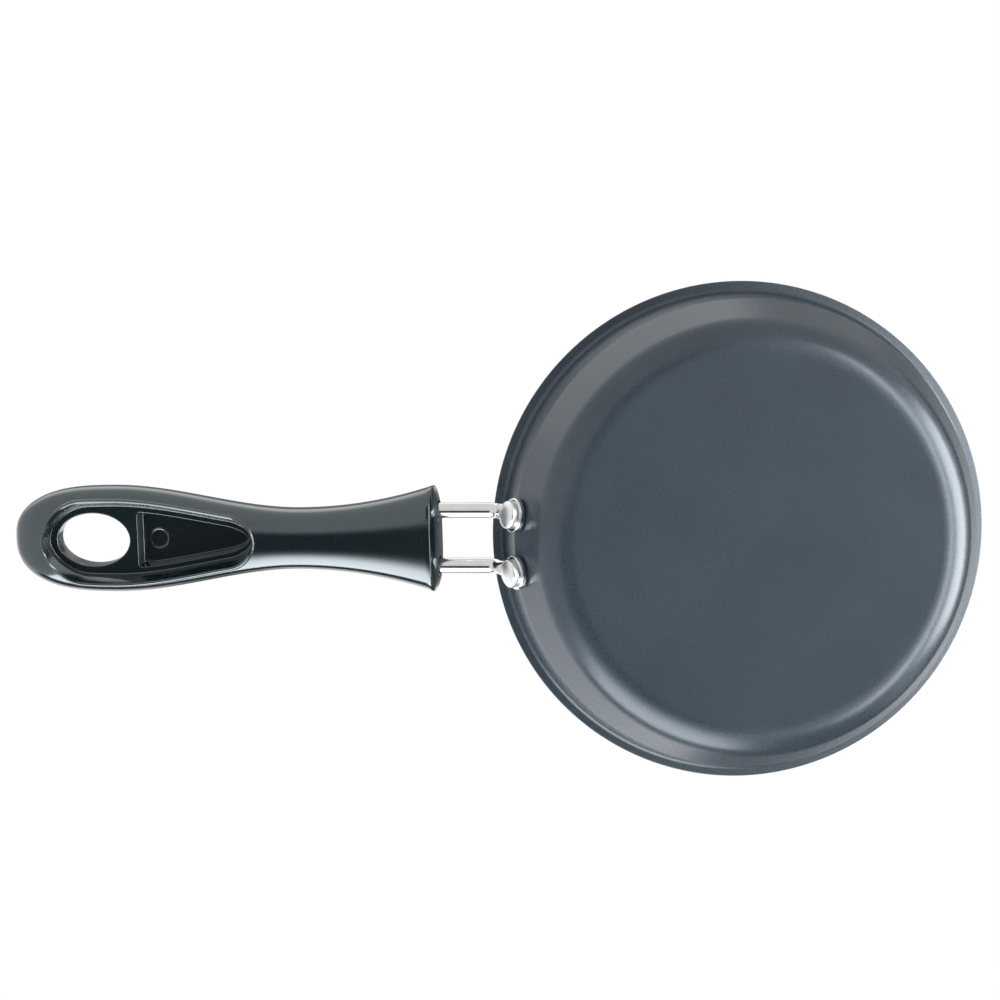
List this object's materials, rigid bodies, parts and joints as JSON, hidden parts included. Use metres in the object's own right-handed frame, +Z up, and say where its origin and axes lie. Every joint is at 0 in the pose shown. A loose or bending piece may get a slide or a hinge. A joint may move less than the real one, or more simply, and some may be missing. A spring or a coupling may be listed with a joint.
{
  "type": "egg pan",
  "caption": "Small round frying pan for eggs: a pressed bowl with a flared rim, riveted to a bent wire handle whose moulded grip has a hang hole.",
  "frame": {"origin": "middle of the flat underside of the base, where the pan rests on a hob", "axes": "+Z up out of the bowl; the handle runs out along -X and rises; +Y across the handle"},
  "size_m": [0.2721, 0.14, 0.0655],
  "materials": {
    "coated_steel": "satin blue-grey coating on pressed steel",
    "bright_wire": "bright plated steel wire",
    "rivet_aluminium": "bright pressed aluminium",
    "black_phenolic": "glossy black moulding"
  },
  "bodies": {
    "root": {"pan_body": "coated_steel", "handle_wire": "bright_wire", "rivet_left": "rivet_aluminium", "rivet_right": "rivet_aluminium", "grip": "black_phenolic"}
  },
  "joints": []
}
